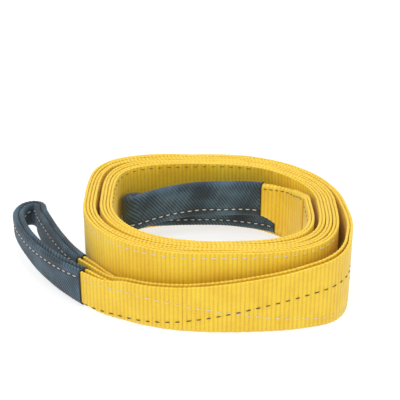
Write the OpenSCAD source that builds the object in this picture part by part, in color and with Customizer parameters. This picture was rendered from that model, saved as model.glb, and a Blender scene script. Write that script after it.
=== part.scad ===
// Two-ply flat webbing sling, eye at each end, coiled standing on its edge.
// X runs to the right, Y to the back, Z up; the web's lower edge stands on Z = 0.

/* [Webbing] */
// Width of the webbing, which is also the height of the coil
web_w = 90; // [80:1:110]
// Thickness of one ply of webbing
ply_t = 3.4; // [2.6:0.1:3.8]
// Air between the two plies that are sewn together
ply_gap = 0.3; // [0.3:0.1:0.6]

/* [Coil] */
// Distance from the coil's centre to its innermost strand on the right
coil_a = 113; // [106:1:130]
// Distance from the coil's centre to its innermost strand at the front
coil_b = 94; // [88:1:110]
// Air between one turn and the next
turn_gap = 0.5; // [0.4:0.1:1.2]
// Extra room between the outermost strand and its neighbour on the right
right_room = 9; // [7:1:12]

/* [Eyes] */
// Thickness of the sleeve fabric
sleeve_t = 1.3; // [1:0.1:1.8]
// Air between the webbing and the sleeve around it
sleeve_fit = 0.3; // [0.3:0.1:0.5]
// Width of the webbing once it is folded lengthwise for an eye
eye_w = 41; // [36:1:43]
// Distance of the sleeve's seam from its open edges
seam_in = 9; // [7:1:14]

/* [Stitching] */
// Distance from one stitch to the next
stitch_pitch = 11; // [9:1:14]
// Length of one visible stitch
stitch_l = 5.6; // [4:0.2:7]
// Thickness of the thread
thread_d = 1; // [0.8:0.1:1.4]

/* [Hidden] */

web_yellow = [0.95, 0.74, 0.17];
sleeve_grey = [0.33, 0.41, 0.47];
thread_white = [0.93, 0.92, 0.88];
thread_black = [0.08, 0.08, 0.09];

// Thickness of the sewn pair of plies, and the distance from one turn to the next
pair_t = 2 * ply_t + ply_gap;
turn_pitch = pair_t + turn_gap;

// Winding angle is measured clockwise from +X, seen from above, starting on the innermost strand
coil_centre = [15, -177];
coil_start = -26;
coil_end = 1468;
angle_step = 7;
// How square each quarter of a turn is: front right, front left, back left, back right
squareness = [3.7, 2.1, 4.5, 2];
left_gap = 4;
inner_strand_room = 6;

// Clearance between a rounded end of webbing and the end it turns against
hinge_fit = 0.35;
// Clearance between a stitch or a cuff thread and the cloth it lies on
thread_fit = 0.05;
cuff_fit = 0.2;
thread_h = 0.6 * thread_d;

// Middle line of the outermost strand after it leaves the coil, ending at the outer eye's root
tail_route = [
    [160, -273], [150, -288], [135, -298], [116, -304], [92, -309], [60, -312],
    [28, -313], [0, -312], [-30, -308], [-60, -299], [-88, -286]
];
tail_side_gap = 0.3;

// Routes of the folded webbing round each eye, from the root along one leg, round the crown and
// back along the other: [x, y, lowest z, share of the folded width that stands upright]
outer_eye_route = [
    [-96, -286, 0, 1.1], [-112, -277, 0, 1.1], [-130, -263, 2, 1.05], [-156, -239, 5, 0.94],
    [-180, -211, 9, 0.83], [-197, -186, 13, 0.72], [-210, -162, 16, 0.65], [-219, -140, 18, 0.62],
    [-222, -122, 19, 0.62], [-217, -107, 19, 0.64], [-207, -102, 19, 0.66], [-198, -108, 18, 0.7],
    [-194, -122, 16, 0.75], [-183, -148, 11, 0.86], [-168, -180, 6, 0.96], [-151, -210, 3, 1.02],
    [-135, -232, 1, 1.05], [-118, -252, 0, 1.1], [-105, -266, 0, 1.1], [-92, -277, 0, 1.1]
];
inner_eye_route = [
    [102, -126, 20, 1.45], [92, -124, 32, 1.15], [76, -118, 37, 1], [55, -109, 36, 1],
    [30, -104, 34, 1], [0, -103, 33, 1], [-30, -108, 31, 1], [-55, -115, 28, 1],
    [-72, -121, 25, 1], [-82, -124, 23, 1], [-88, -119, 22, 1], [-88, -112, 21, 1],
    [-82, -105, 20, 1], [-71, -100, 18, 1], [-55, -95, 16, 1], [-30, -90, 15, 1],
    [0, -87, 14, 1], [30, -88, 14, 1], [55, -93, 14, 1], [78, -102, 14, 1],
    [95, -112, 14, 1.1], [109, -122, 12, 1.5]
];
// First and last route points that each sleeve covers
outer_sleeve_span = [2, 16];
inner_sleeve_span = [2, 20];

function unit(v) = v / norm(v);
function plan(p) = [p[0], p[1]];
function left_of(v) = [-v[1], v[0]];
function bell(x, middle, reach) = abs(x - middle) < reach ? (1 + cos(180 * (x - middle) / reach)) / 2 : 0;
function wrap(a) = a - 360 * floor(a / 360);
function smooth(x) = let (t = min(max(x, 0), 1)) t * t * (3 - 2 * t);

// Distance from the coil's centre to the inner face of the strand at a winding angle
function slack(a) =
    left_gap * (bell(a, 900, 100) + bell(a, 1260, 100))
    + right_room * bell(a, 1475, 60)
    - inner_strand_room * bell(a, -10, 90);
function coil_radius(a) =
    let (
        growth = turn_pitch * a / 360,
        n = squareness[floor(wrap(a) / 90)],
        x = abs(cos(a)) / (coil_a + growth),
        y = abs(sin(a)) / (coil_b + growth)
    )
    pow(pow(x, n) + pow(y, n), -1 / n) + slack(a);
function coil_inner_face(a) = coil_centre + coil_radius(a) * [cos(a), -sin(a)];
function coil_heading(a) = unit(coil_inner_face(a + 1) - coil_inner_face(a - 1));
function coil_at(a, off) = coil_inner_face(a) + off * left_of(coil_heading(a));

// Hinge lines of the free ends of the coil, and the outer eye's hinge line on the tail
tail_hinge = coil_at(coil_end, pair_t / 2);
inner_eye_hinge = coil_at(coil_start, pair_t / 2);
fold_t = 2 * ply_t + tail_side_gap;
root_t = 2 * fold_t + tail_side_gap;
outer_eye_hinge = tail_route[len(tail_route) - 1];

// A smooth curve through hand-placed points, with its heading, as [place, heading, share of the way]
function spline(p0, p1, p2, p3, t) =
    0.5 * (2 * p1 + (p2 - p0) * t + (2 * p0 - 5 * p1 + 4 * p2 - p3) * t * t
    + (3 * p1 - p0 - 3 * p2 + p3) * t * t * t);
function pick(v, i) =
    i < 0 ? 2 * v[0] - v[1] : i >= len(v) ? 2 * v[len(v) - 1] - v[len(v) - 2] : v[i];
function along(v, x) =
    let (i = min(floor(x), len(v) - 2))
    spline(pick(v, i - 1), pick(v, i), pick(v, i + 1), pick(v, i + 2), x - i);
function heading(v, x) = unit(along(v, min(x + 0.02, len(v) - 1)) - along(v, max(x - 0.02, 0)));
function steps(first, last, count) = [for (i = [0 : count]) first + (last - first) * i / count];

// A strip of cloth: each ring has a chain of outer points, then the inner chain backwards
module strip(rings) {
    n = len(rings[0]);
    last = (len(rings) - 1) * n;
    polyhedron(
        points = [for (ring = rings) each ring],
        faces = [
            for (i = [0 : n / 2 - 2]) [i, i + 1, n - 2 - i, n - 1 - i],
            for (i = [0 : n / 2 - 2]) [last + n - 1 - i, last + n - 2 - i, last + i + 1, last + i],
            for (r = [0 : len(rings) - 2])
                for (i = [0 : n - 1])
                    let (j = (i + 1) % n)
                    [r * n + j, r * n + i, (r + 1) * n + i, (r + 1) * n + j]
        ]
    );
}

// Values at equal spacing along a route, from one route value to another
function lengths(v, xs) = [
    for (i = 0, s = 0; i < len(xs); s = s + (i + 1 < len(xs) ? norm(along(v, xs[i + 1]) - along(v, xs[i])) : 0),
        i = i + 1) [s, xs[i]]
];
// Section points [sideways, up] set upright across a heading at a place
function stand(place, head, section) =
    [for (p = section) let (q = place + p[0] * left_of(head)) [q[0], q[1], p[1]]];
function backwards(v) = [for (i = [len(v) - 1 : -1 : 0]) v[i]];
function upturned(section, z0, z1) = [for (p = backwards(section)) [p[0], z0 + z1 - p[1]]];

// A flat ply between two sideways distances
function flat_section(from, to, z0, z1) = [[to, z0], [to, z1], [from, z1], [from, z0]];
// A ply folded up along its lower edge: a front wall, a foot and a lower back wall
function turned_up_section(front, back, front_h, back_h) = [
    [back, back_h], [back, 0], [front, 0], [front, front_h],
    [front - ply_t, front_h], [front - ply_t, ply_t], [back + ply_t, ply_t], [back + ply_t, back_h]
];
// Webbing folded lengthwise into two equal halves with its edges open at the top
function folded_section(half, z0, z1) =
    let (in = half - ply_t, bend = min(0.3, 0.6 * in), round = 0.7 * ply_t)
    [
        [-half, z1], [-half, z0 + round], [-half + round, z0],
        [half - round, z0], [half, z0 + round], [half, z1],
        [in, z1], [in, z0 + ply_t + bend], [in - bend, z0 + ply_t],
        [bend - in, z0 + ply_t], [-in, z0 + ply_t + bend], [-in, z1]
    ];
// The sleeve's tube of cloth around that folded webbing, split where its edges meet in the groove
function sleeve_section(half, z0, z1) =
    let (
        wall = sleeve_fit + sleeve_t,
        out = half + wall,
        groove = half - ply_t - wall,
        top = z1 + wall,
        low = z0 - wall,
        floor_z = z0 + ply_t + wall,
        split = groove / 2,
        away = [
            [-split, floor_z], [-groove, floor_z], [-groove, top], [-out, top], [-out, low],
            [out, low], [out, top], [groove, top], [groove, floor_z], [split, floor_z]
        ],
        in = sleeve_t,
        facing = [
            [-split, floor_z - in], [-groove - in, floor_z - in], [-groove - in, top - in],
            [-out + in, top - in], [-out + in, low + in], [out - in, low + in],
            [out - in, top - in], [groove + in, top - in], [groove + in, floor_z - in],
            [split, floor_z - in]
        ]
    )
    concat(away, backwards(facing));

// A row of stitches: one small block for each [place, heading, side], side 1 being left of heading
module stitches(places) {
    blocks = [
        for (p = places)
        let (
            h = [p[1][0], p[1][1], 0] * stitch_l / 2,
            left = [-p[1][1], p[1][0], 0],
            from = p[2] > 0 ? thread_fit : -thread_fit - thread_h,
            lo = left * from,
            hi = left * (from + thread_h),
            up = [0, 0, thread_d / 2]
        )
        [for (s = [-1, 1]) for (q = [lo - up, hi - up, hi + up, lo + up]) p[0] + s * h + q]
    ];
    polyhedron(
        points = [for (b = blocks) each b],
        faces = [
            for (k = [0 : len(blocks) - 1])
                let (o = 8 * k)
                each [
                    [o, o + 1, o + 2, o + 3], [o + 7, o + 6, o + 5, o + 4],
                    for (i = [0 : 3])
                        let (j = (i + 1) % 4)
                        [o + j, o + i, o + 4 + i, o + 4 + j]
                ]
        ]
    );
}

// Half of a rounded end of webbing, turned about its hinge line; side 1 is left of heading
module round_end(place, head, radius, z0, z1, side) {
    intersection() {
        translate([place[0], place[1], z0]) cylinder(r = radius, h = z1 - z0, $fn = 48);
        translate([place[0], place[1], z0])
            rotate([0, 0, atan2(head[1], head[0])])
            translate([-radius, side > 0 ? ply_gap / 2 : -2 * radius, 0])
            cube([2 * radius, 2 * radius - ply_gap / 2, z1 - z0]);
    }
}

// The coil's plies: two upright walls along the same winding, stopping short of the hinge lines
end_gap = pair_t / 2 + hinge_fit;
function end_angle(a) = 180 / PI * end_gap / coil_radius(a);
coil_first = coil_start + end_angle(coil_start);
coil_last = coil_end - end_angle(coil_end);
coil_angles = steps(coil_first, coil_last, round((coil_last - coil_first) / angle_step));
module coil_ply(from, to) {
    linear_extrude(web_w)
        polygon(concat(
            [for (a = coil_angles) coil_at(a, to)],
            backwards([for (a = coil_angles) coil_at(a, from)])
        ));
}
// Stitches laid on the straight stretches between points of a face, as many as fit the pitch
function on_chords(points, side) = [
    for (i = [0 : len(points) - 2])
        let (
            a = points[i],
            b = points[i + 1],
            run = plan(b) - plan(a),
            count = norm(run) < stitch_l + 0.5 ? 0 : max(1, round(norm(run) / stitch_pitch))
        )
        for (j = [0.5 : 1 : count])
            [a + (b - a) * j / count, unit(run), side]
];
// bend sets how late the line climbs or falls from z0 to z1
function coil_stitches(first, last, off, side, z0, z1, bend) =
    let (angles = [for (a = coil_angles) if (a > first && a < last) a])
    on_chords([
        for (a = angles)
            let (p = coil_at(a, off))
            [p[0], p[1], z0 + (z1 - z0) * pow((a - first) / (last - first), bend)]
    ], side);

// The tail: how far it has folded up, its wall heights and the places of its layers
tail_points = concat([tail_hinge], tail_route);
tail_last = len(tail_points) - 1;
fold_start = 3;
fold_rise = 10;
fold_room = ply_t + tail_side_gap;
function tail_share(x) = lookup(x, [for (p = lengths(tail_points, steps(0, tail_last, 160))) [p[1], p[0]]])
    / lengths(tail_points, steps(0, tail_last, 160))[160][0];
function tail_fold(x) = 1 - pow(1 - tail_share(x), 1.6);
function tail_front_h(x) = web_w - (web_w - eye_w - fold_rise) * tail_fold(x);
function tail_back_h(x) = web_w - tail_front_h(x);
function tail_shift(x) = fold_room * smooth(x / fold_start);
function tail_half(x) = pair_t / 2 + tail_shift(x);
tail_end = tail_last - (root_t / 2 + hinge_fit) / norm(tail_route[9] - tail_route[10]);
flat_stations = steps(0, fold_start, 9);
folded_stations = steps(fold_start, tail_end, 16);
module tail_ply(front) {
    strip([
        for (x = flat_stations)
            stand(along(tail_points, x), heading(tail_points, x),
                flat_section(front(x) - ply_t, front(x), 0, tail_front_h(x)))
    ]);
    strip([
        for (x = folded_stations)
            stand(along(tail_points, x), heading(tail_points, x),
                turned_up_section(front(x), front(x) - ply_t - fold_room,
                    tail_front_h(x), tail_back_h(x)))
    ]);
}
outer_front = function (x) tail_half(x);
inner_front = function (x) tail_half(x) - ply_t - ply_gap - tail_shift(x);
function tail_stitches(z_first, z_last) = on_chords([
    for (x = concat([for (i = [1 : 8]) flat_stations[i]], folded_stations))
        let (p = along(tail_points, x) + tail_half(x) * left_of(heading(tail_points, x)))
        [p[0], p[1], z_first + (z_last - z_first) * smooth(tail_share(x))]
], 1);

// An eye: half the thickness of its folded webbing, and its lowest point and height on the route
groove_half = 0.3;
sleeve_wall = sleeve_t + sleeve_fit;
eye_half = groove_half + sleeve_wall + ply_t;
eye_out = eye_half + sleeve_wall;
function under_sleeve(route, span, x) =
    smooth(min(x / span[0], (len(route) - 1 - x) / (len(route) - 1 - span[1])));
function web_half(route, span, x) =
    fold_t / 2 + (eye_half - fold_t / 2) * under_sleeve(route, span, x);
function web_floor(route, span, x) = along(route, x)[2] + sleeve_wall * under_sleeve(route, span, x);
function web_top(route, span, x) = web_floor(route, span, x) + eye_w * along(route, x)[3];
function eye_heading(route, x) = unit(plan(heading(route, x)));
function eye_stations(first, last) = steps(first, last, 2 * (last - first));
function eye_ring(route, x, section, z0, z1, open_up) =
    stand(plan(along(route, x)), eye_heading(route, x), open_up ? section : upturned(section, z0, z1));

module eye_web(route, span, open_up) {
    strip([
        for (x = eye_stations(0, len(route) - 1))
            let (z0 = web_floor(route, span, x), z1 = web_top(route, span, x))
            eye_ring(route, x, folded_section(web_half(route, span, x), z0, z1), z0, z1, open_up)
    ]);
}
module eye_sleeve(route, span, open_up) {
    strip([
        for (x = eye_stations(span[0], span[1]))
            let (z0 = web_floor(route, span, x), z1 = web_top(route, span, x))
            eye_ring(route, x, sleeve_section(eye_half, z0, z1), z0, z1, open_up)
    ]);
}
module eye_seam(route, span, open_up) {
    stitches([
        for (side = [-1, 1])
            each on_chords([
                for (x = eye_stations(span[0] + 0.5, span[1] - 0.5))
                    let (
                        p = plan(along(route, x)) + side * eye_out * left_of(eye_heading(route, x)),
                        top = web_top(route, span, x) + sleeve_wall - seam_in,
                        low = web_floor(route, span, x) - sleeve_wall + seam_in
                    )
                    [p[0], p[1], open_up ? top : low]
            ], side)
    ]);
}
// Overlocked thread round one end of a sleeve, just outside its cloth
module cuff_thread(route, span, from, to) {
    out = eye_out + cuff_fit;
    strip([
        for (x = [from, to])
            let (
                top = web_top(route, span, x) + sleeve_wall,
                low = web_floor(route, span, x) - sleeve_wall - cuff_fit
            )
            stand(plan(along(route, x)), eye_heading(route, x), [
                [-out - thread_h, top], [-out - thread_h, low - thread_h],
                [out + thread_h, low - thread_h], [out + thread_h, top],
                [out, top], [out, low], [-out, low], [-out, top]
            ])
    ]);
}
// The sewn root of an eye: rounded about its hinge line and reaching to both legs
module eye_root(place, radius, route, z0, z1) {
    legs = (plan(route[0]) + plan(route[len(route) - 1])) / 2;
    translate([0, 0, z0]) linear_extrude(z1 - z0) hull() {
        translate(place) circle(r = radius, $fn = 48);
        translate(legs) circle(r = pair_t / 2, $fn = 24);
    }
}

// Whole-object frame: the origin is under the middle of everything, on the surface it stands on
plan_points = concat(
    [for (a = coil_angles) coil_at(a, pair_t)],
    [
        for (x = steps(0, tail_end, 60))
            along(tail_points, x) + tail_half(x) * left_of(heading(tail_points, x))
    ],
    [
        for (x = eye_stations(outer_sleeve_span[0], outer_sleeve_span[1]))
            plan(along(outer_eye_route, x)) + eye_out * left_of(eye_heading(outer_eye_route, x))
    ]
);
plan_x = [for (p = plan_points) p[0]];
plan_y = [for (p = plan_points) p[1]];
plan_middle = [(min(plan_x) + max(plan_x)) / 2, (min(plan_y) + max(plan_y)) / 2];
module placed() {
    translate([-plan_middle[0], -plan_middle[1], 0]) children();
}

module coil_outer_ply() {
    color(web_yellow) placed() coil_ply(ply_t + ply_gap, pair_t);
}

module coil_inner_ply() {
    color(web_yellow) placed() coil_ply(0, ply_t);
}

module coil_white_stitching() {
    color(thread_white) placed() stitches(coil_stitches(1112, coil_last - 1, pair_t, 1, 0.94 * web_w, 20, 3));
}

module coil_black_stitching() {
    color(thread_black) placed() stitches(coil_stitches(coil_first + 2, 300, 0, -1, 0.87 * web_w, 0.96 * web_w, 0.7));
}

module tail_outer_ply() {
    color(web_yellow) placed() {
        tail_ply(outer_front);
        round_end(tail_hinge, heading(tail_points, 0), pair_t / 2, 0, web_w, 1);
    }
}

module tail_inner_ply() {
    color(web_yellow) placed() {
        tail_ply(inner_front);
        round_end(tail_hinge, heading(tail_points, 0), pair_t / 2, 0, web_w, -1);
    }
}

module tail_white_stitching() {
    color(thread_white) placed() stitches(tail_stitches(8, 39));
}

module tail_black_stitching() {
    color(thread_black) placed() stitches(tail_stitches(52, 6));
}

module outer_eye_web() {
    color(web_yellow) placed() {
        eye_web(outer_eye_route, outer_sleeve_span, true);
        eye_root(outer_eye_hinge, root_t / 2, outer_eye_route, 0, eye_w);
    }
}

module outer_eye_sleeve() {
    color(sleeve_grey) placed() eye_sleeve(outer_eye_route, outer_sleeve_span, true);
}

module outer_eye_sleeve_seam() {
    color(thread_white) placed() eye_seam(outer_eye_route, outer_sleeve_span, true);
}

module outer_eye_front_cuff_thread() {
    from = outer_sleeve_span[0];
    color(thread_black) placed()
        cuff_thread(outer_eye_route, outer_sleeve_span, from + 0.02, from + 0.15);
}

module outer_eye_back_cuff_thread() {
    to = outer_sleeve_span[1];
    color(thread_black) placed()
        cuff_thread(outer_eye_route, outer_sleeve_span, to - 0.15, to - 0.02);
}

module inner_eye_web() {
    color(web_yellow) placed() {
        eye_web(inner_eye_route, inner_sleeve_span, false);
        low = inner_eye_route[0][2];
        eye_root(inner_eye_hinge, pair_t / 2, inner_eye_route, low, web_w - low);
    }
}

module inner_eye_sleeve() {
    color(sleeve_grey) placed() eye_sleeve(inner_eye_route, inner_sleeve_span, false);
}

module inner_eye_sleeve_seam() {
    color(thread_white) placed() eye_seam(inner_eye_route, inner_sleeve_span, false);
}

coil_outer_ply();
coil_inner_ply();
coil_white_stitching();
coil_black_stitching();
tail_outer_ply();
tail_inner_ply();
tail_white_stitching();
tail_black_stitching();
outer_eye_web();
outer_eye_sleeve();
outer_eye_sleeve_seam();
outer_eye_front_cuff_thread();
outer_eye_back_cuff_thread();
inner_eye_web();
inner_eye_sleeve();
inner_eye_sleeve_seam();
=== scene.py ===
"""Two-ply flat webbing sling, eye at each end, coiled on its edge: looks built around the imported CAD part.

Shapes are worked out in millimetres from the same formulas as the CAD part and turned into metres
in the row frame when a mesh is made.
"""

import math

import bpy
import numpy as np
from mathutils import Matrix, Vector
from mathutils.bvhtree import BVHTree


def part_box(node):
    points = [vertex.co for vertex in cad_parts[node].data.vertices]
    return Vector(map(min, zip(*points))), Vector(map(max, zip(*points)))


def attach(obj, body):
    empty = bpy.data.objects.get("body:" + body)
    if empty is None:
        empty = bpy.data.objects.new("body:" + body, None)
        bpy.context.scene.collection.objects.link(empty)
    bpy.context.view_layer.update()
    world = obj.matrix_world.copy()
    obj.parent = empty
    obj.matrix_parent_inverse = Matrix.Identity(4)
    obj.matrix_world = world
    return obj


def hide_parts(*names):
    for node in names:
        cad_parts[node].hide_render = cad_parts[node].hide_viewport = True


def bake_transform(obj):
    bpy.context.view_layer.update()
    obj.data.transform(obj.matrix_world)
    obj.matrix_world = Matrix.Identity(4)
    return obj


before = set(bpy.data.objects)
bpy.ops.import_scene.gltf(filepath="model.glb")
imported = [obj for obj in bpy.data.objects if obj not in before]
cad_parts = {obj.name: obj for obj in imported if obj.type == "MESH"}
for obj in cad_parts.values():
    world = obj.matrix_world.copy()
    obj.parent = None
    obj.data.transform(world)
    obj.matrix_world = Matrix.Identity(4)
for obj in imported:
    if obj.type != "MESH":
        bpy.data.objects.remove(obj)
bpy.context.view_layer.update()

# ---------------------------------------------------------------- sizes, in millimetres
WEB_W, PLY_T, PLY_GAP = 90.0, 3.4, 0.3
COIL_A, COIL_B, TURN_GAP, RIGHT_ROOM = 113.0, 94.0, 0.5, 9.0
SLEEVE_T, SLEEVE_FIT, EYE_W, SEAM_IN = 1.3, 0.3, 41.0, 9.0
STITCH_PITCH, STITCH_L, THREAD_D = 11.0, 5.6, 1.0
PAIR_T = 2 * PLY_T + PLY_GAP
TURN_PITCH = PAIR_T + TURN_GAP
COIL_CENTRE = np.array([15.0, -177.0])
COIL_START, COIL_END = -26.0, 1468.0
SQUARENESS = np.array([3.7, 2.1, 4.5, 2.0])
LEFT_GAP, INNER_STRAND_ROOM = 4.0, 6.0
TAIL_SIDE_GAP, FOLD_START, FOLD_RISE = 0.3, 3.0, 10.0
FOLD_ROOM = PLY_T + TAIL_SIDE_GAP
SLEEVE_WALL = SLEEVE_T + SLEEVE_FIT
EYE_HALF = 0.3 + SLEEVE_WALL + PLY_T
EYE_OUT = EYE_HALF + SLEEVE_WALL
TAIL_ROUTE = [
    (160, -273), (150, -288), (135, -298), (116, -304), (92, -309), (60, -312),
    (28, -313), (0, -312), (-30, -308), (-60, -299), (-88, -286),
]
OUTER_EYE_ROUTE = [
    (-96, -286, 0, 1.1), (-112, -277, 0, 1.1), (-130, -263, 2, 1.05), (-156, -239, 5, 0.94),
    (-180, -211, 9, 0.83), (-197, -186, 13, 0.72), (-210, -162, 16, 0.65), (-219, -140, 18, 0.62),
    (-222, -122, 19, 0.62), (-217, -107, 19, 0.64), (-207, -102, 17, 0.7), (-198, -108, 14, 0.8),
    (-194, -122, 11, 0.87), (-183, -148, 7, 0.96), (-168, -180, 4, 1.01), (-151, -210, 2, 1.04),
    (-135, -232, 1, 1.05), (-118, -252, 0, 1.1), (-105, -266, 0, 1.1), (-92, -277, 0, 1.1),
]
INNER_EYE_ROUTE = [
    (102, -126, 20, 1.5), (92, -124, 32, 1.22), (76, -118, 39, 1.02), (55, -109, 37, 1),
    (30, -104, 34, 1), (0, -103, 33, 1), (-30, -108, 31, 1), (-55, -115, 28, 1),
    (-72, -121, 25, 1), (-82, -124, 23, 1), (-88, -119, 22, 1), (-88, -112, 21, 1),
    (-82, -105, 19, 1), (-71, -100, 16, 1), (-55, -95, 14, 1), (-30, -90, 12, 1),
    (0, -87, 11, 1), (30, -88, 11, 1), (55, -93, 11, 1), (78, -102, 12, 1),
    (95, -112, 13, 1.1), (109, -122, 12, 1.5),
]
OUTER_SPAN, INNER_SPAN = (2, 16), (2, 20)
RIB_PITCH = 4.8
# Reach of a web's rounded rim past its flat faces, and how far the coil's lower edges lean back
RIM = 1.05
LEAN = 7.0


# ---------------------------------------------------------------- the shapes' own formulas
def smooth(x):
    t = np.clip(x, 0, 1)
    return t * t * (3 - 2 * t)


def bell(x, middle, reach):
    return np.where(abs(x - middle) < reach, (1 + np.cos(np.pi * (x - middle) / reach)) / 2, 0)


def coil_radius(a):
    growth = TURN_PITCH * a / 360
    n = SQUARENESS[(np.floor((a - 360 * np.floor(a / 360)) / 90)).astype(int) % 4]
    x = abs(np.cos(np.radians(a))) / (COIL_A + growth)
    y = abs(np.sin(np.radians(a))) / (COIL_B + growth)
    slack = (
        LEFT_GAP * (bell(a, 900, 100) + bell(a, 1260, 100))
        + RIGHT_ROOM * bell(a, 1475, 60)
        - INNER_STRAND_ROOM * bell(a, -10, 90)
    )
    return (x**n + y**n) ** (-1 / n) + slack


def coil_face(a):
    r = np.radians(a)
    return COIL_CENTRE + coil_radius(a)[:, None] * np.stack([np.cos(r), -np.sin(r)], 1)


def left_of(v):
    return np.stack([-v[:, 1], v[:, 0]], 1)


def unit(v):
    return v / np.linalg.norm(v, axis=-1, keepdims=True)


def coil_at(a, off):
    a = np.atleast_1d(np.asarray(a, float))
    heading = unit(coil_face(a + 1) - coil_face(a - 1))
    return coil_face(a) + off * left_of(heading)


def along(points, x):
    """A smooth curve through given points, as in the CAD part; x counts the points."""
    p = np.array(points, float)
    p = np.vstack([2 * p[0] - p[1], p, 2 * p[-1] - p[-2]])
    x = np.clip(np.atleast_1d(np.asarray(x, float)), 0, len(points) - 1)
    i = np.minimum(np.floor(x).astype(int), len(points) - 2)
    t = (x - i)[:, None]
    p0, p1, p2, p3 = p[i], p[i + 1], p[i + 2], p[i + 3]
    return 0.5 * (
        2 * p1 + (p2 - p0) * t + (2 * p0 - 5 * p1 + 4 * p2 - p3) * t**2
        + (3 * p1 - p0 - 3 * p2 + p3) * t**3
    )


TAIL_HINGE = coil_at(COIL_END, PAIR_T / 2)[0]
TAIL_POINTS = [tuple(TAIL_HINGE)] + TAIL_ROUTE
TAIL_LAST = len(TAIL_POINTS) - 1
_x = np.linspace(0, TAIL_LAST, 161)
_p = along(TAIL_POINTS, _x)
_s = np.concatenate([[0], np.cumsum(np.linalg.norm(np.diff(_p, axis=0), axis=1))])


def tail_share(x):
    return np.interp(x, _x, _s) / _s[-1]


def tail_fold(x):
    return 1 - (1 - tail_share(x)) ** 1.6


def row(p):
    """Points in millimetres, in metres in the row frame."""
    p = np.asarray(p, float)
    return (p - np.append(MIDDLE, 0)[: p.shape[-1]]) / 1000


# The row frame's origin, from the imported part: the coil's outer ply has the same outline here
_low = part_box("coil_outer_ply")[0]
_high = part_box("coil_outer_ply")[1]
_outline = coil_at(np.arange(COIL_START + 3, COIL_END - 2, 0.5), PAIR_T)
MIDDLE = (_outline.min(0) + _outline.max(0)) / 2 - 500 * np.array(
    [_low[0] + _high[0], _low[1] + _high[1]]
)


# ---------------------------------------------------------------- mesh helpers
def smooth_noise(u, v, scale, seed):
    """A gentle unevenness between -1 and 1, the same every time."""
    rng = np.random.default_rng(seed)
    total = 0
    for _ in range(6):
        a = rng.uniform(0, 2 * np.pi)
        k = rng.uniform(0.5, 1.6) * 2 * np.pi / scale
        total = total + np.sin(k * (u * np.cos(a) + v * np.sin(a)) + rng.uniform(0, 6.28))
    return total / 4


def mesh_object(name, verts, faces, attributes=()):
    mesh = bpy.data.meshes.new(name)
    mesh.from_pydata(np.asarray(verts).tolist(), [], faces)
    for key, kind, values in attributes:
        made = mesh.attributes.new(key, kind, "POINT")
        slot = "vector" if kind == "FLOAT_VECTOR" else "value"
        made.data.foreach_set(slot, np.asarray(values, np.float32).ravel())
    mesh.update()
    mesh.shade_smooth()
    made = bpy.data.objects.new(name, mesh)
    bpy.context.scene.collection.objects.link(made)
    return made


def dense_path(points, step=1.0):
    """A path through points, smoothly resampled at about step apart: places and arc lengths."""
    p = np.asarray(points, float)
    s = np.concatenate([[0], np.cumsum(np.linalg.norm(np.diff(p[:, :2], axis=0), axis=1))])
    n = max(4, int(s[-1] / step))
    t = np.linspace(0, s[-1], n)
    return cubic(s, p, t), t


def cubic(s, p, t):
    """Smooth interpolation of the rows of p, known at s, at t."""
    m = np.gradient(p, s, axis=0)
    i = np.clip(np.searchsorted(s, t) - 1, 0, len(s) - 2)
    h = (s[i + 1] - s[i])[:, None]
    x = (t - s[i])[:, None] / h
    return (
        (2 * x**3 - 3 * x**2 + 1) * p[i] + (x**3 - 2 * x**2 + x) * h * m[i]
        + (3 * x**2 - 2 * x**3) * p[i + 1] + (x**3 - x**2) * h * m[i + 1]
    )


def stations(length, pitch, parts):
    """Arc lengths of rings, set so that every rib has the same share of them."""
    count = max(1, round(length / pitch))
    s = ((np.arange(count)[:, None] + np.array(parts)[None, :]) / count).ravel()
    return np.append(s, 1) * length, np.append((s * count), count)


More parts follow.
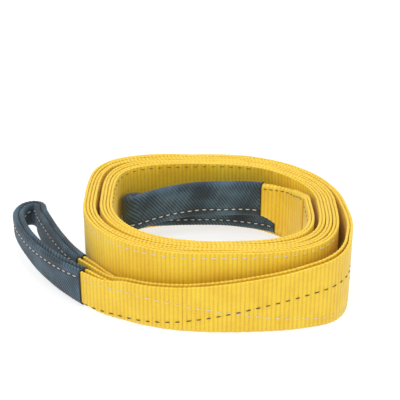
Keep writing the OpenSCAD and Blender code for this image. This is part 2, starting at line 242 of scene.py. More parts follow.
def cloth_mesh(name, place, side, centre, thick, rim, relief, rim_relief, u, v):
    """A closed sheet of cloth: for each ring its place, sideways direction and middle line.

    centre is rings x points x [sideways, up]; relief(face) gives how far each face stands
    proud; rim_relief(turn) the same round the edges. u is along the cloth and v across it.
    """
    n, k = centre.shape[:2]
    tangent = unit(np.gradient(centre, axis=1))
    normal = np.stack([-tangent[..., 1], tangent[..., 0]], -1)
    half = thick / 2
    loops, us, vs, kinds, proud = [], [], [], [], []

    def add(points, uu, vv, kind, lift):
        loops.append(points)
        us.append(np.broadcast_to(uu, points.shape[:2]))
        vs.append(np.broadcast_to(vv, points.shape[:2]))
        kinds.append(np.full(points.shape[:2], kind))
        proud.append(np.broadcast_to(lift, points.shape[:2]))

    turns = np.radians([36, 72, 108, 144])
    outer_lift = relief(1)
    inner_lift = relief(-1)
    add(centre + normal * (half + outer_lift)[..., None], u[:, None], v, 0, outer_lift)
    for end, sign in ((-1, 1), (0, -1)):
        t = tangent[:, end, :][:, None, :] * sign
        m = normal[:, end, :][:, None, :] * sign
        c = centre[:, end, :][:, None, :]
        phi = turns[None, :, None]
        lift = rim_relief(turns, end)
        ring = c + (m * np.cos(phi) * half + t * np.sin(phi) * rim) * (1 + lift[..., None] / half)
        if end == -1:
            add(ring, u[:, None], v[:, -1:], 1, lift)
            add(
                (centre - normal * (half + inner_lift)[..., None])[:, ::-1],
                u[:, None], v[:, ::-1], 0, inner_lift[:, ::-1],
            )
        else:
            add(ring, u[:, None], v[:, :1], 1, lift)
    flat = np.concatenate(loops, 1)
    m = flat.shape[1]
    xy = place[:, None, :] + flat[..., :1] * side[:, None, :]
    verts = np.concatenate([xy, flat[..., 1:]], -1).reshape(-1, 3)
    i = np.arange(n - 1)[:, None] * m
    j = np.arange(m)[None, :]
    jn = (j + 1) % m
    quads = np.stack([i + j, i + m + j, i + m + jn, i + jn], -1).reshape(-1, 4).tolist()
    r = len(turns)
    for o, flip in ((0, False), ((n - 1) * m, True)):
        caps = [[o + a, o + a + 1, o + 2 * k + r - 2 - a, o + 2 * k + r - 1 - a] for a in range(k - 1)]
        caps.append([o + k - 1 + a for a in range(r + 2)])
        caps.append([o + (2 * k + r - 1 + a) % m for a in range(r + 2)])
        quads += [c[::-1] for c in caps] if flip else caps
    attributes = (
        ("cloth", "FLOAT_VECTOR", np.stack([
            np.concatenate(us, 1), np.concatenate(vs, 1), np.concatenate(kinds, 1)], -1)),
        ("proud", "FLOAT", np.concatenate(proud, 1)),
    )
    made = mesh_object(name, row(verts), quads, attributes)
    if volume(verts, quads) < 0:
        made.data.flip_normals()
    return made


def volume(verts, quads):
    """The signed volume inside a closed mesh, from its four-sided faces."""
    q = np.array([f for f in quads if len(f) == 4])
    a, b, c, d = (verts[q[:, i]] for i in range(4))
    return float((a * (np.cross(b, c) + np.cross(c, d))).sum())


def rib(phase):
    """How high the web's surface stands over a rib, from 0 in the groove to 1 on its crest."""
    return abs(np.sin(np.pi * phase)) ** 0.62


RIB_PARTS = (0, 0.12, 0.32, 0.5, 0.68, 0.88)
RIB_DEPTH, BEAD_DEPTH = 0.55, 0.95


def web_piece(name, path, lateral, section, seed, lift=0):
    """Ribbed webbing along a path.

    path is rows of plan points and further values; lateral(values) is the middle line's
    distance left of the path; section(values) gives the middle line and its lengths.
    """
    dense, t = dense_path(path)
    heading = unit(np.gradient(dense[:, :2], t, axis=0))
    mid = dense[:, :2] + lateral(dense)[:, None] * left_of(heading)
    length = np.concatenate([[0], np.cumsum(np.linalg.norm(np.diff(mid, axis=0), axis=1))])
    s, phase = stations(length[-1], RIB_PITCH, RIB_PARTS)
    rows_ = np.stack([np.interp(s, length, c) for c in np.hstack([dense, heading]).T], 1)
    values, head = rows_[:, : dense.shape[1]], unit(rows_[:, dense.shape[1]:])
    side = left_of(head)
    centre, v = section(values)
    place = values[:, :2] + lateral(values)[:, None] * side
    height = rib(phase)[:, None]
    uneven = 0.07 * smooth_noise(s[:, None], v, 9, seed) + 0.1 * smooth_noise(s[:, None], v, 37, seed + 1)

    def relief(face):
        return -RIB_DEPTH * (1 - height) * np.ones_like(v) + uneven - 0.02

    def rim_relief(turns, end):
        slant = 0.5 * (turns / np.pi - 0.5)
        bead = rib(phase[:, None] + slant[None, :])
        rng = np.random.default_rng(seed + 5 + end)
        loose = rng.uniform(-0.1, 0.1, (len(s), 1))
        return -BEAD_DEPTH * (1 - bead) * np.sin(turns)[None, :] ** 0.5 - 0.25 * (
            1 - np.sin(turns)[None, :]) * (1 - height) + loose + 0.12

    waver = lift * (
        smooth_noise(s[:, None], 0 * v[:, :1], 120, seed + 9)
        + 0.5 * smooth_noise(s[:, None], 0 * v[:, :1], 45, seed + 11)
    )
    centre = centre.copy()
    top = centre[..., 1].max(axis=1, keepdims=True)
    centre[..., 1] += waver * np.clip(centre[..., 1] / np.maximum(top, 1), 0, 1) ** 2
    made = cloth_mesh(name, place, side, centre, PLY_T, RIM, relief, rim_relief, s, v)
    return made, length[-1]


def coil_lean(a, z):
    """How far the coil's cloth leans outward: its lower edges stand back along the rear wall."""
    return LEAN * bell(a - 360 * np.floor(a / 360), 270, 80) * (1 - z / WEB_W)


def flat_section(points):
    def section(values):
        n = len(values)
        z = np.linspace(WEB_W - RIM, RIM, points)
        centre = np.zeros((n, points, 2))
        centre[..., 0] = coil_lean(values[:, 2:3], z[None, :])
        centre[..., 1] = z
        return centre, np.broadcast_to(WEB_W - z, (n, points)).copy()
    return section


def folded_line(plus, arc, minus, radius, low, upturned=None, count=46):
    """The middle line of web folded lengthwise: a wall on the left side of the path, a fold
    and a wall on the right side. Lengths are of each ring; low is the fold's own centre height.
    """
    total = plus + radius * arc + minus
    s = total[:, None] * np.linspace(0, 1, count)[None, :]
    r = radius[:, None]
    turn = np.clip((s - plus[:, None]) / r, 0, arc[:, None])
    up = np.clip(s - plus[:, None] - r * arc[:, None], 0, None)
    x = r * np.cos(turn)
    z = low[:, None] + np.clip(plus[:, None] - s, 0, None) - r * np.sin(turn)
    x = x - up * np.sin(arc[:, None])
    z = z - up * np.cos(arc[:, None])
    if upturned is not None:
        z = upturned[:, None] - z
    return np.stack([x, z], -1), s


# ---------------------------------------------------------------- stitches
def stitch_piece(name, items, seed=3, thick=THREAD_D, long=STITCH_L):
    """Visible stitches: each item is a place, a direction along it and a direction out of the cloth."""
    rings, sides = 7, 7
    t = np.linspace(-1, 1, rings)
    swell = np.sqrt(np.clip(1 - abs(t) ** 5, 0.02, 1))
    sink = -1.1 * abs(t) ** 4
    ang = np.linspace(0, 2 * np.pi, sides, endpoint=False)
    rng = np.random.default_rng(seed)
    verts, faces = [], []
    for p, d, out in items:
        p, d, out = (np.asarray(q, float) for q in (p, d, out))
        d = unit(d)
        out = unit(out - d * (out @ d))
        across = np.cross(d, out)
        tilt = rng.uniform(-0.07, 0.07)
        d = unit(d + across * tilt)
        half = long / 2 * rng.uniform(0.9, 1.08)
        base = sum(len(b) for b in verts)
        ring = (
            p[None, None] + d * (t * half)[:, None, None]
            + out * ((thick * (0.32 + 0.35 * sink))[:, None, None]
                     + (np.sin(ang)[None, :] * swell[:, None] * thick * 0.42)[..., None])
            + across * (np.cos(ang)[None, :] * swell[:, None] * thick * 0.56)[..., None]
        )
        verts.append(ring.reshape(-1, 3))
        for i in range(rings - 1):
            for j in range(sides):
                jn = (j + 1) % sides
                faces.append([base + i * sides + j, base + (i + 1) * sides + j,
                              base + (i + 1) * sides + jn, base + i * sides + jn])
        faces.append([base + j for j in range(sides)])
        faces.append([base + (rings - 1) * sides + j for j in range(sides - 1, -1, -1)])
    pts = np.concatenate(verts)
    made = mesh_object(name, row(pts), faces)
    if volume(pts, faces) < 0:
        made.data.flip_normals()
    return made


def spaced_stitches(points, outward, pitch=STITCH_PITCH):
    """Stitch places at even spacing along a line of 3-D points with outward directions."""
    p = np.asarray(points, float)
    s = np.concatenate([[0], np.cumsum(np.linalg.norm(np.diff(p, axis=0), axis=1))])
    count = max(1, int(round(s[-1] / pitch)))
    t = (np.arange(count) + 0.5) / count * s[-1]
    place = np.stack([np.interp(t, s, c) for c in p.T], 1)
    ahead = np.stack([np.interp(t + 0.5, s, c) for c in p.T], 1)
    behind = np.stack([np.interp(t - 0.5, s, c) for c in p.T], 1)
    out = np.stack([np.interp(t, s, c) for c in np.asarray(outward, float).T], 1)
    return list(zip(place, ahead - behind, out))


# Places along a stitch where the cloth under it is met, so that it lies over a rib, not in a groove
STITCH_PROBES = (-1.8, 0, 1.8)


def seat(items, name, reach=6.0):
    """Stitches moved onto the surface of a piece, met along each stitch's outward direction."""
    mesh = bpy.data.objects[name].data
    tree = BVHTree.FromPolygons([v.co for v in mesh.vertices], [p.vertices[:] for p in mesh.polygons])
    kept = []
    for p, d, out in items:
        out, ahead = unit(np.asarray(out, float)), unit(np.asarray(d, float))
        found = [
            tree.ray_cast(Vector(row(p + ahead * shift + out * reach)), Vector(-out), 2 * reach / 1000)[3]
            for shift in STITCH_PROBES
        ]
        found = [1000 * f for f in found if f is not None]
        if found:
            kept.append((p + out * (reach - min(found)), d, out))
    return kept


# ---------------------------------------------------------------- materials
def linear(r, g, b):
    return tuple(
        (c / 255 / 12.92 if c <= 10 else ((c / 255 + 0.055) / 1.055) ** 2.4) for c in (r, g, b)
    ) + (1,)


class Nodes:
    """A short way of writing a material's node tree."""

    def __init__(self, name):
        self.material = bpy.data.materials.new(name)
        self.material.use_nodes = True
        self.tree = self.material.node_tree
        self.tree.nodes.clear()
        self.out = self.tree.nodes.new("ShaderNodeOutputMaterial")

    def node(self, kind, inputs=None, **settings):
        made = self.tree.nodes.new(kind)
        for key, value in settings.items():
            setattr(made, key, value)
        for key, value in (inputs or {}).items():
            if isinstance(value, bpy.types.NodeSocket):
                self.tree.links.new(value, made.inputs[key])
            else:
                made.inputs[key].default_value = value
        return made

    def math(self, operation, a, b=0.0, clamp=False):
        return self.node("ShaderNodeMath", {0: a, 1: b}, operation=operation, use_clamp=clamp).outputs[0]

    def range(self, value, a, b, c=0.0, d=1.0):
        return self.node(
            "ShaderNodeMapRange", {"Value": value, "From Min": a, "From Max": b, "To Min": c, "To Max": d}
        ).outputs[0]

    def mix(self, factor, a, b, blend="MIX"):
        made = self.node("ShaderNodeMix", data_type="RGBA", blend_type=blend)
        for key, value in ((0, factor), (6, a), (7, b)):
            if isinstance(value, bpy.types.NodeSocket):
                self.tree.links.new(value, made.inputs[key])
            else:
                made.inputs[key].default_value = value
        return made.outputs[2]

    def noise(self, vector, scale, detail=2.0, rough=0.5):
        return self.node(
            "ShaderNodeTexNoise",
            {"Vector": vector, "Scale": scale, "Detail": detail, "Roughness": rough},
        ).outputs["Fac"]

    def finish(self, colour, roughness, height=None, strength=0.3, distance=0.001, **constants):
        inputs = {"Base Color": colour, "Roughness": roughness}
        if height is not None:
            inputs["Normal"] = self.node(
                "ShaderNodeBump", {"Height": height, "Strength": strength, "Distance": distance}
            ).outputs[0]
        shader = self.node("ShaderNodeBsdfPrincipled", inputs)
        for key, value in constants.items():
            shader.inputs[key.replace("_", " ")].default_value = value
        self.tree.links.new(shader.outputs[0], self.out.inputs[0])
        return self.material


def webbing_material():
    n = Nodes("woven_webbing")
    cloth = n.node("ShaderNodeAttribute", attribute_name="cloth").outputs["Vector"]
    proud = n.node("ShaderNodeAttribute", attribute_name="proud").outputs["Fac"]
    parts = n.node("ShaderNodeSeparateXYZ", {0: cloth})
    u, v, kind = parts.outputs
    groove = n.range(proud, 0.0, -0.5, 0.0, 1.0)
    broad = n.noise(cloth, 0.02, 3, 0.55)
    streak = n.noise(
        n.node("ShaderNodeVectorMath", {0: cloth, 1: (0.05, 1.3, 1.0)}, operation="MULTIPLY").outputs[0],
        1.0, 2, 0.6,
    )
    fleck = n.noise(cloth, 0.9, 3, 0.7)
    base = n.mix(n.range(broad, 0.3, 0.7), linear(238, 196, 26), linear(246, 212, 46))
    # painted shade: the yellow darkens to orange where the surface sits low, in the ribs' grooves and
    # between the rims' beads
    base = n.mix(n.math("MULTIPLY", groove, 0.5), base, linear(206, 138, 8))
    base = n.mix(n.range(streak, 0.42, 0.72, 0, 0.22), base, linear(250, 226, 104))
    base = n.mix(n.range(fleck, 0.55, 0.8, 0, 0.25), base, linear(255, 228, 110))
    # painted highlight: the rims are lightened to a pale yellow all round
    base = n.mix(n.math("MULTIPLY", kind, 0.22), base, linear(255, 218, 84))
    # fine yarns: warp ends side by side across the web, picks crossing them along each rib
    warp = n.math("SINE", n.math("MULTIPLY", v, 2 * math.pi / 1.15))
    pick = n.math("SINE", n.math("ADD", n.math("MULTIPLY", u, 2 * math.pi / 1.6),
                                 n.math("MULTIPLY", v, 2 * math.pi / 2.3)))
    yarn = n.math("ADD", n.math("MULTIPLY", warp, 0.6), n.math("MULTIPLY", pick, 0.4))
    height = n.math("ADD", n.math("MULTIPLY", yarn, 0.5), n.math("MULTIPLY", fleck, 0.8))
    rough = n.range(fleck, 0.3, 0.7, 0.42, 0.6)
    return n.finish(
        base, rough, height, 0.35, 0.0004,
        Sheen_Weight=0.25, Sheen_Roughness=0.45, Specular_IOR_Level=0.45,
    )


def sleeve_material():
    n = Nodes("twill_sleeve")
    cloth = n.node("ShaderNodeAttribute", attribute_name="cloth").outputs["Vector"]
    proud = n.node("ShaderNodeAttribute", attribute_name="proud").outputs["Fac"]
    parts = n.node("ShaderNodeSeparateXYZ", {0: cloth})
    u, v, kind = parts.outputs
    broad = n.noise(cloth, 0.03, 3, 0.6)
    fleck = n.noise(cloth, 1.1, 4, 0.75)
    groove = n.range(proud, 0.1, -0.3, 0.0, 1.0)
    base = n.mix(n.range(broad, 0.3, 0.7), linear(60, 88, 106), linear(86, 114, 133))
    # painted shade: near black where the surface sits low, in the twill's grooves, along the seam's pucker
    # and over the inner face
    base = n.mix(n.math("MULTIPLY", groove, 0.85), base, linear(20, 30, 38))
    base = n.mix(n.range(fleck, 0.55, 0.8, 0, 0.4), base, linear(138, 154, 166))
    yarn = n.math("SINE", n.math("ADD", n.math("MULTIPLY", u, 2 * math.pi / 1.1),
                                 n.math("MULTIPLY", v, 2 * math.pi / 1.3)))
    height = n.math("ADD", n.math("MULTIPLY", yarn, 0.45), n.math("MULTIPLY", fleck, 0.9))
    rough = n.range(fleck, 0.3, 0.7, 0.68, 0.85)
    return n.finish(
        base, rough, height, 0.45, 0.0005,
        Sheen_Weight=0.2, Sheen_Roughness=0.5, Specular_IOR_Level=0.35,
    )


def thread_material(name, light, dark, rough):
    n = Nodes(name)
    at = n.node("ShaderNodeTexCoord").outputs["Object"]
    ply = n.node(
        "ShaderNodeTexWave", {"Vector": at, "Scale": 900.0, "Distortion": 2.0, "Detail": 1.0},
        bands_direction="DIAGONAL",
    ).outputs["Fac"]
    # painted shade: the thread darkens in the low parts between its twisted plies
    base = n.mix(ply, dark, light)
    return n.finish(base, n.range(ply, 0, 1, rough + 0.15, rough), ply, 0.4, 0.0003, Sheen_Weight=0.1)


WEBBING = webbing_material()
SLEEVE = sleeve_material()
WHITE = thread_material("white_thread", linear(246, 242, 232), linear(205, 196, 178), 0.45)
BLACK = thread_material("black_thread", linear(42, 42, 44), linear(12, 12, 14), 0.5)


def dress(obj, material):
    obj.data.materials.clear()
    obj.data.materials.append(material)
    return obj


# ---------------------------------------------------------------- coil
SEAM_INNER, SEAM_TAIL = -4.0, 1438.0
X_EYE = 8.6


for ply, off in (("inner", PLY_T / 2), ("outer", PAIR_T - PLY_T / 2)):
    angles = np.linspace(SEAM_INNER, SEAM_TAIL, 3600)
    path = np.column_stack([coil_at(angles, off), angles])
    obj, length = web_piece(
        f"coil_{ply}_webbing", path, lambda d: np.zeros(len(d)), flat_section(8), 11, lift=0.5
    )
    dress(obj, WEBBING)
    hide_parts(f"coil_{ply}_ply")
    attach(obj, "coil")

# ---------------------------------------------------------------- tail
R_TAIL = (PLY_T + TAIL_SIDE_GAP) / 2
CLOTH_W = WEB_W - 2 * RIM
LAST_FRONT = EYE_W + FOLD_RISE
TAIL_END = TAIL_LAST - 0.24


def tail_walls(x):
    """Lengths of the tall front wall, the fold's turn and the turned-up wall at tail positions."""
    turned = tail_fold(x) * (CLOTH_W - (LAST_FRONT - PLY_T / 2 - R_TAIL - RIM))
    arc = np.clip(turned / R_TAIL, 1e-3, np.pi)
    back = np.clip(turned - R_TAIL * arc, 0, None)
    front = CLOTH_W - turned
    low = R_TAIL * np.sin(np.minimum(arc, np.pi / 2)) + RIM + (PLY_T / 2 - RIM) * smooth(turned / R_TAIL)
    return front, arc, back, low


def tail_path(x_end):
    """Plan points of the pair's middle line and the tail position, from the coil to x_end."""
    a = np.arange(SEAM_TAIL, COIL_END - 4, 2.0)
    coil = coil_at(a, PAIR_T / 2)
    x = np.arange(0.0, x_end + 1e-6, 0.1)
    x[-1] = x_end
    rest = along(TAIL_POINTS, x)
    return np.vstack([
        np.hstack([coil, (a - COIL_END)[:, None] / 60]),
        np.hstack([rest[:, :2], x[:, None]]),
    ])


def ply_front(x, ply):
    shift = FOLD_ROOM * smooth(np.clip(x, 0, None) / FOLD_START)
    half = PAIR_T / 2 + shift
    return half if ply == "outer" else half - PLY_T - PLY_GAP - shift


def tail_section(values):
    x = np.clip(values[:, 2], 0, None)
    front, arc, back, low = tail_walls(x)
    radius = np.full(len(x), R_TAIL)
    centre, s = folded_line(front, arc, back, radius, low)
    centre[..., 0] -= R_TAIL
    return centre, s


for ply in ("outer", "inner"):
    obj, length = web_piece(
        f"tail_{ply}_webbing", tail_path(X_EYE),
        lambda d, ply=ply: ply_front(d[:, 2], ply) - PLY_T / 2, tail_section, 31, lift=0.3,
    )
    dress(obj, WEBBING)
    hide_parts(f"tail_{ply}_ply")
    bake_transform(obj)


# ---------------------------------------------------------------- eyes
def under_sleeve(route, span, x):
    last = len(route) - 1
    return smooth(np.minimum(x / span[0], (last - x) / (last - span[1])))


def eye_values(route, span, x):
    """Plan place, half thickness, floor and top of the folded web at route positions."""
    p = along(route, x)
    under = under_sleeve(route, span, np.asarray(x, float))
    half = (2 * PLY_T + TAIL_SIDE_GAP) / 2 + (EYE_HALF - (2 * PLY_T + TAIL_SIDE_GAP) / 2) * under
    floor = p[:, 2] + SLEEVE_WALL * under
    return p[:, :2], half, floor, floor + EYE_W * p[:, 3]


def eye_strip(name, head, route, span, x0, x1, tail, upturned, seed):
    """The web of an eye: in from its root, round the crown and back out, as one strip.

    head and tail are rows of [x, y, radius, plus wall, minus wall, fold centre height, mirror].
    """
    x = np.arange(x0, x1 + 1e-6, 0.25)
    xy, half, floor, top = eye_values(route, span, x)
    radius = half - PLY_T / 2
    wall = top - floor - RIM - PLY_T / 2 - radius
    low = floor + PLY_T / 2 + radius
    mirror = floor + top if upturned else 0 * floor
    body = np.column_stack([xy, radius, wall, wall, low, mirror])
    path = np.vstack([head, body, tail])

    def section(values):
        arc = np.full(len(values), np.pi)
        return folded_line(
            np.clip(values[:, 3], 0.5, None), arc, np.clip(values[:, 4], 0.5, None), values[:, 2],
            values[:, 5], values[:, 6] if upturned else None,
        )
    return web_piece(name, path, lambda d: np.zeros(len(d)), section, seed)


def root_blend(obj):
    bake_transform(obj)


def outer_root(ply):
    """The folded tail ply from the tail's seam to its end, as rows for eye_strip."""
    x = np.linspace(X_EYE, TAIL_END - 0.1, 14)
    p = along(TAIL_POINTS, x)
    heading = unit(along(TAIL_POINTS, x + 0.02) - along(TAIL_POINTS, x - 0.02))
    centre = p + (ply_front(x, ply) - PLY_T / 2 - R_TAIL)[:, None] * left_of(heading)
    front, arc, back, low = tail_walls(x)
    walls = (front, back) if ply == "outer" else (back, front)
    rows_ = np.column_stack([centre, np.full(len(x), R_TAIL), *walls, low, 0 * x])
    return rows_ if ply == "outer" else rows_[::-1]


obj, length = eye_strip(
    "outer_eye_webbing", outer_root("outer"), OUTER_EYE_ROUTE, OUTER_SPAN, 0.75, 18.4,
    outer_root("inner"), False, 51,
)
dress(obj, WEBBING)
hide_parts("outer_eye_web")
root_blend(obj)


# How far the top edge comes down as the coil's end turns into the inner eye
ROOT_DROP = 7.0


def inner_root(off, plus_is_tall):
    """A flat coil ply turning over along its top edge towards the inner eye."""
    a = np.linspace(SEAM_INNER, COIL_START + 4, 9)
    centre = coil_at(a, off)
    share = np.linspace(0, 1, len(a)) ** 1.5
    turned = 1.0 + share * 12
    radius = np.full(len(a), R_TAIL)
    back = np.clip(turned - np.pi * radius, 0.5, None)
    front = CLOTH_W - np.pi * radius - back
    low = radius + PLY_T / 2
    mirror = WEB_W - ROOT_DROP * smooth(np.linspace(0, 1, len(a)))
    walls = (front, back) if plus_is_tall else (back, front)
    return np.column_stack([centre, radius, *walls, low, mirror])


obj, length = eye_strip(
    "inner_eye_webbing", inner_root(PLY_T / 2, True), INNER_EYE_ROUTE, INNER_SPAN, 0.6, 20.6,
    inner_root(PAIR_T - PLY_T / 2, False)[::-1], True, 71,
)
dress(obj, WEBBING)
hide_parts("inner_eye_web")
root_blend(obj)


# ---------------------------------------------------------------- sleeves
TWILL = 4.2


def sleeve_line(half, floor, top, count):
    """The middle line of a sleeve round folded web: into the groove, over both edges, round the fold."""
    mid = SLEEVE_FIT + SLEEVE_T / 2
    out = half + mid
    groove = np.maximum(half - PLY_T - mid, 0.66)
    rim = (out - groove) / 2
    rim_z = top + mid - rim
    fold_z = floor - mid + out
    base = floor + PLY_T + mid
    lengths = [rim_z - base, np.pi * rim, rim_z - fold_z, np.pi * out, rim_z - fold_z,
               np.pi * rim, rim_z - base]
    ends = np.cumsum(np.stack(lengths, 1), axis=1)
    s = ends[:, -1:] * np.linspace(0, 1, count)[None, :]
    x, z = np.zeros_like(s), np.zeros_like(s)
    col = [np.repeat(q[:, None], count, 1) for q in (groove, rim, out, rim_z, fold_z, base)]
    g, r, o, rz, fz, b = col
    starts = np.concatenate([np.zeros((len(half), 1)), ends], 1)

    def part(i):
        lo, hi = starts[:, i:i + 1], starts[:, i + 1:i + 2]
        inside = (s >= lo - 1e-9) & (s <= hi + 1e-9)
        return inside, s - lo, (s - lo) / np.maximum(hi - lo, 1e-9)

    shapes = [
        lambda d, t: (g, b + d),
        lambda d, t: (g + r - r * np.cos(np.pi * t), rz + r * np.sin(np.pi * t)),
        lambda d, t: (o, rz - d),
        lambda d, t: (o * np.cos(np.pi * t), fz - o * np.sin(np.pi * t)),
        lambda d, t: (-o, fz + d),
        lambda d, t: (-o + r - r * np.cos(np.pi * t), rz + r * np.sin(np.pi * t)),
        lambda d, t: (-g, rz - d),
    ]
    for i, shape in enumerate(shapes):
        inside, d, t = part(i)
        px, pz = shape(d, t)
        x, z = np.where(inside, px, x), np.where(inside, pz, z)
    return np.stack([x, z], -1), s


def sleeve_piece(name, route, span, upturned, seed, count=150):
    x = np.linspace(span[0], span[1], 400)
    xy, half, floor, top = eye_values(route, span, x)
    path = np.column_stack([xy, floor, top])
    dense, t = dense_path(path)
    length = t[-1]
    s, phase = stations(length, TWILL, (0, 0.25, 0.5, 0.75))
    values = np.stack([np.interp(s, t, c) for c in dense.T], 1)
    heading = unit(np.gradient(values[:, :2], s, axis=0))
    floor, top = values[:, 2], values[:, 3]
    centre, v = sleeve_line(np.full(len(s), EYE_HALF), floor, top, count)
    if upturned:
        centre[..., 1] = (floor + top)[:, None] - centre[..., 1]
        centre = centre[:, ::-1]
    total = v[:, -1:].copy()
    # the twill runs slantwise: its height follows both the length and the distance round
    twill = 0.5 + 0.5 * np.sin(2 * np.pi * (phase[:, None] + v / 5.6))
    z = centre[..., 1]
    open_edge = (floor if upturned else top)[:, None]
    seam = np.exp(-(((abs(z - open_edge) - (SEAM_IN - SLEEVE_WALL)) / 2.0) ** 2)) * (abs(centre[..., 0]) > 5)
    uneven = 0.35 * smooth_noise(s[:, None], v, 42, seed) + 0.12 * smooth_noise(s[:, None], v, 11, seed + 1)

    def relief(face):
        if face < 0:
            return np.zeros_like(v) - 0.1
        return 0.6 * (twill - 0.75) - 0.4 * seam + uneven * 0.6

    def rim_relief(turns, end):
        return np.zeros((len(s), len(turns)))

    obj = cloth_mesh(
        name, values[:, :2], left_of(heading), centre, SLEEVE_T, 0.4, relief, rim_relief, s, v
    )
    return obj, length, float(total.mean())


for eye, route, span, upturned, seed in (
    ("outer", OUTER_EYE_ROUTE, OUTER_SPAN, False, 91), ("inner", INNER_EYE_ROUTE, INNER_SPAN, True, 97)
):
    obj, length, wide = sleeve_piece(f"{eye}_eye_sleeve_cloth", route, span, upturned, seed)
    dress(obj, SLEEVE)
    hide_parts(f"{eye}_eye_sleeve")
    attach(obj, f"{eye}_eye")

# ---------------------------------------------------------------- stitching
def coil_line(first, last, off, outward, heights, lo, hi):
    """Stitches on a coil face from lo to hi, on a line whose height changes over first to last."""
    a = np.arange(lo, hi, 1.0)
    z0, z1, bend = heights
    z = z0 + (z1 - z0) * np.clip((a - first) / (last - first), 0, 1) ** bend
    heading = unit(coil_face(a + 1) - coil_face(a - 1))
    p = coil_at(a, off) + coil_lean(a, z)[:, None] * left_of(heading)
    out = left_of(heading) * outward
    return spaced_stitches(np.column_stack([p, z]), np.column_stack([out, 0 * z]))


COIL_FIRST, COIL_LAST = COIL_START + 2.1, COIL_END - 1.4
WHITE_HEIGHTS, BLACK_HEIGHTS = (0.94 * WEB_W, 20, 3), (0.87 * WEB_W, 0.96 * WEB_W, 0.7)
coil_white = coil_line(1112, COIL_LAST - 1, PAIR_T, 1, WHITE_HEIGHTS, 1112, SEAM_TAIL)
coil_black = coil_line(COIL_FIRST, 300, 0, -1, BLACK_HEIGHTS, SEAM_INNER, 300)
coil_white = seat(coil_white, "coil_outer_webbing")
coil_black = seat(coil_black, "coil_inner_webbing", 3.0)
obj = dress(stitch_piece("coil_white_stitches", coil_white), WHITE)
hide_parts("coil_white_stitching")
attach(obj, "coil")
obj = dress(stitch_piece("coil_black_stitches", coil_black, thick=0.7), BLACK)
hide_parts("coil_black_stitching")
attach(obj, "coil")


def tail_points(z_first, z_last, x0, x1):
    x = np.arange(x0, x1, 0.05)
    p = along(TAIL_POINTS, x)
    heading = unit(along(TAIL_POINTS, x + 0.02) - along(TAIL_POINTS, x - 0.02))
    out = left_of(heading)
    p = p + ply_front(x, "outer")[:, None] * out
    z = z_first + (z_last - z_first) * smooth(tail_share(x))
    return np.column_stack([p, z]), np.column_stack([out, 0 * z])


def outer_root_points(z):
    """On from the tail along the front of the outer eye's root, as far as the sleeve."""
    x = np.linspace(0.75, 1.95, 12)
    xy, half, floor, top = eye_values(OUTER_EYE_ROUTE, OUTER_SPAN, x)
    side = left_of(unit(np.gradient(xy, axis=0)))
    return np.column_stack([xy + half[:, None] * side, np.full(12, z)]), np.column_stack([side, 0 * x])


for colour, material, z0, z1 in (("white", WHITE, 8, 39), ("black", BLACK, 52, 6)):
    near = spaced_stitches(*tail_points(z0, z1, 0.1, X_EYE))
    if colour == "white":
        near = coil_line(1112, COIL_LAST - 1, PAIR_T, 1, WHITE_HEIGHTS, SEAM_TAIL, COIL_LAST - 2) + near
    near = seat(near, "tail_outer_webbing")
    obj = dress(stitch_piece(f"tail_{colour}_stitches", near, 5), material)
    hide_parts(f"tail_{colour}_stitching")
    root_blend(obj)
    far = [np.vstack(pair) for pair in zip(
        tail_points(z0, z1, X_EYE, TAIL_LAST - 0.3), outer_root_points(z1))]
    far = seat(spaced_stitches(*far), "outer_eye_webbing", 9.0)
    obj = dress(stitch_piece(f"outer_root_{colour}_stitches", far, 6), material)
    root_blend(obj)


# Distance of the inner root's stitches from its top edge
ROOT_LINE_IN = 4.5


def inner_root_line():
    """Stitches along the top edge of the inner eye's root, from the coil to the sleeve."""
    a = np.linspace(SEAM_INNER - 1, COIL_START + 4, 20)
    out = -left_of(unit(coil_face(a + 1) - coil_face(a - 1)))
    z = WEB_W - ROOT_DROP * smooth(np.linspace(0, 1, len(a))) - ROOT_LINE_IN
    x = np.linspace(0.6, 1.9, 12)
    xy, half, floor, top = eye_values(INNER_EYE_ROUTE, INNER_SPAN, x)
    side = left_of(unit(np.gradient(xy, axis=0)))
    points = np.vstack([
        np.column_stack([coil_at(a, 0), z]),
        np.column_stack([xy + half[:, None] * side, top - ROOT_LINE_IN]),
    ])
    outward = np.vstack([np.column_stack([out, 0 * z]), np.column_stack([side, 0 * x])])
    return spaced_stitches(points, outward, 7.0)


root_black = seat(inner_root_line(), "inner_eye_webbing", 9.0)
obj = dress(stitch_piece("inner_root_black_stitches", root_black, 7, 0.9, 4.4), BLACK)
root_blend(obj)


def seam_lines(route, span, upturned):
    items = []
    x = np.linspace(span[0] + 0.12, span[1] - 0.12, 300)
    xy, half, floor, top = eye_values(route, span, x)
    heading = unit(np.gradient(xy, axis=0))
    z = floor - SLEEVE_WALL + SEAM_IN if upturned else top + SLEEVE_WALL - SEAM_IN
    for side in (1, -1):
        out = left_of(heading) * side
        p = xy + out * (EYE_OUT - 0.35)
        items += spaced_stitches(np.column_stack([p, z]), np.column_stack([out, 0 * z]), 9.0)
    return items


for eye, route, span, upturned in (
    ("outer", OUTER_EYE_ROUTE, OUTER_SPAN, False), ("inner", INNER_EYE_ROUTE, INNER_SPAN, True)
):
    obj = stitch_piece(f"{eye}_eye_seam_stitches", seam_lines(route, span, upturned), 8, 1.05, 5.4)
    dress(obj, WHITE)
    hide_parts(f"{eye}_eye_sleeve_seam")
    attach(obj, f"{eye}_eye")


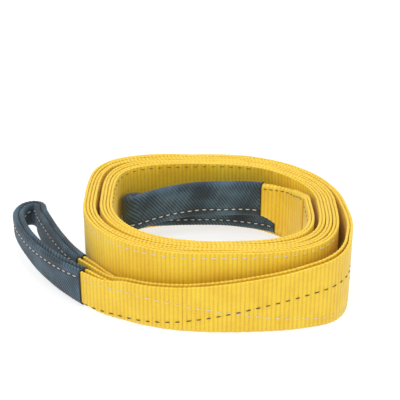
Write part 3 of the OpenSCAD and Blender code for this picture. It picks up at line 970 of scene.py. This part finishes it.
def cuff(name, route, span, x, upturned):
    """Overlocked thread: close turns of thread over the edge of a sleeve's end."""
    xy, half, floor, top = eye_values(route, span, np.array([x - 0.03, x, x + 0.03]))
    heading = unit(xy[2:] - xy[:1])
    centre, v = sleeve_line(np.full(3, EYE_HALF), floor, top, 400)
    if upturned:
        centre[..., 1] = (floor + top)[:, None] - centre[..., 1]
    line, s = centre[1], v[1]
    turns = int(s[-1] / 1.5)
    t = np.linspace(0.0, s[-1], turns * 5 + 1)
    px, pz = np.interp(t, s, line[:, 0]), np.interp(t, s, line[:, 1])
    tx, tz = np.gradient(px), np.gradient(pz)
    size = np.hypot(tx, tz)
    tx, tz = tx / size, tz / size
    wave = 0.75 + 0.25 * np.cos(2 * np.pi * t / 1.5)
    sides = 8
    ang = np.linspace(0, 2 * np.pi, sides, endpoint=False)
    d3 = np.append(heading[0], 0)
    left = np.append(left_of(heading)[0], 0)
    up = np.array([0, 0, 1.0])
    middle = np.append(xy[1], 0) + px[:, None] * left + pz[:, None] * up
    normal = (-tz)[:, None] * left + tx[:, None] * up
    radius = wave * 0.95
    verts = (
        middle[:, None] + (np.cos(ang)[None, :] * radius[:, None])[..., None] * normal[:, None]
        + (np.sin(ang)[None, :] * radius[:, None] * 0.9)[..., None] * d3
    )
    n = len(t)
    faces = [
        [i * sides + j, (i + 1) * sides + j, (i + 1) * sides + (j + 1) % sides, i * sides + (j + 1) % sides]
        for i in range(n - 1) for j in range(sides)
    ]
    faces.append(list(range(sides)))
    faces.append([(n - 1) * sides + j for j in range(sides - 1, -1, -1)])
    pts = verts.reshape(-1, 3)
    made = mesh_object(name, row(pts), faces)
    if volume(pts, faces) < 0:
        made.data.flip_normals()
    return made


for eye, route, span, upturned in (
    ("outer", OUTER_EYE_ROUTE, OUTER_SPAN, False), ("inner", INNER_EYE_ROUTE, INNER_SPAN, True)
):
    for place, x in (("front", span[0]), ("back", span[1])):
        obj = dress(cuff(f"{eye}_eye_{place}_cuff", route, span, x, upturned), BLACK)
        if eye == "outer":
            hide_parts(f"outer_eye_{place}_cuff_thread")
        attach(obj, f"{eye}_eye")

# ---------------------------------------------------------------- stage, light and camera
floor_mesh = bpy.data.meshes.new("floor")
FLOOR_HALF = 9
floor_mesh.from_pydata(
    [(FLOOR_HALF * i, FLOOR_HALF * j, 0) for i, j in ((-1, -1), (1, -1), (1, 1), (-1, 1))],
    [], [(0, 1, 2, 3)],
)
floor_obj = bpy.data.objects.new("floor", floor_mesh)
bpy.context.scene.collection.objects.link(floor_obj)
n = Nodes("pale_floor")
pale = n.node("ShaderNodeBsdfDiffuse", {"Color": (0.4, 0.4, 0.4, 1)})
bright = n.node("ShaderNodeEmission", {"Color": (1, 1, 1, 1), "Strength": 0.72})
both = n.node("ShaderNodeAddShader", {0: pale.outputs[0], 1: bright.outputs[0]})
n.tree.links.new(both.outputs[0], n.out.inputs[0])
floor_mesh.materials.append(n.material)

world = bpy.data.worlds.new("studio")
bpy.context.scene.world = world
world.use_nodes = True
world.node_tree.nodes["Background"].inputs[0].default_value = (1, 1, 1, 1)
world.node_tree.nodes["Background"].inputs[1].default_value = 0.62


def area(name, place, target, size, power):
    data = bpy.data.lights.new(name, "AREA")
    data.shape, data.size, data.size_y, data.energy = "RECTANGLE", size[0], size[1], power
    made = bpy.data.objects.new(name, data)
    bpy.context.scene.collection.objects.link(made)
    made.location = place
    made.rotation_euler = (Vector(target) - Vector(place)).to_track_quat("-Z", "Y").to_euler()


area("key", (-0.7, -1.1, 1.5), (0, 0, 0.04), (0.9, 0.9), 11)
area("fill", (1.3, -0.6, 0.9), (0, 0, 0.04), (0.9, 0.9), 4)
area("top", (0.0, 0.5, 1.7), (0, 0, 0), (1.4, 1.0), 10)

camera = bpy.data.cameras.new("camera")
camera.lens, camera.sensor_width = 99.0, 36.0
camera_obj = bpy.data.objects.new("camera", camera)
bpy.context.scene.collection.objects.link(camera_obj)
TILT, REACH = math.radians(27.0), 1.4796
target = Vector((0.0286, 0.1837, 0.0))
camera_obj.location = target - Vector((0, math.cos(TILT), -math.sin(TILT))) * REACH
camera_obj.rotation_euler = (math.pi / 2 - TILT, 0, 0)
bpy.context.scene.camera = camera_obj
bpy.context.scene.view_settings.view_transform = "Standard"
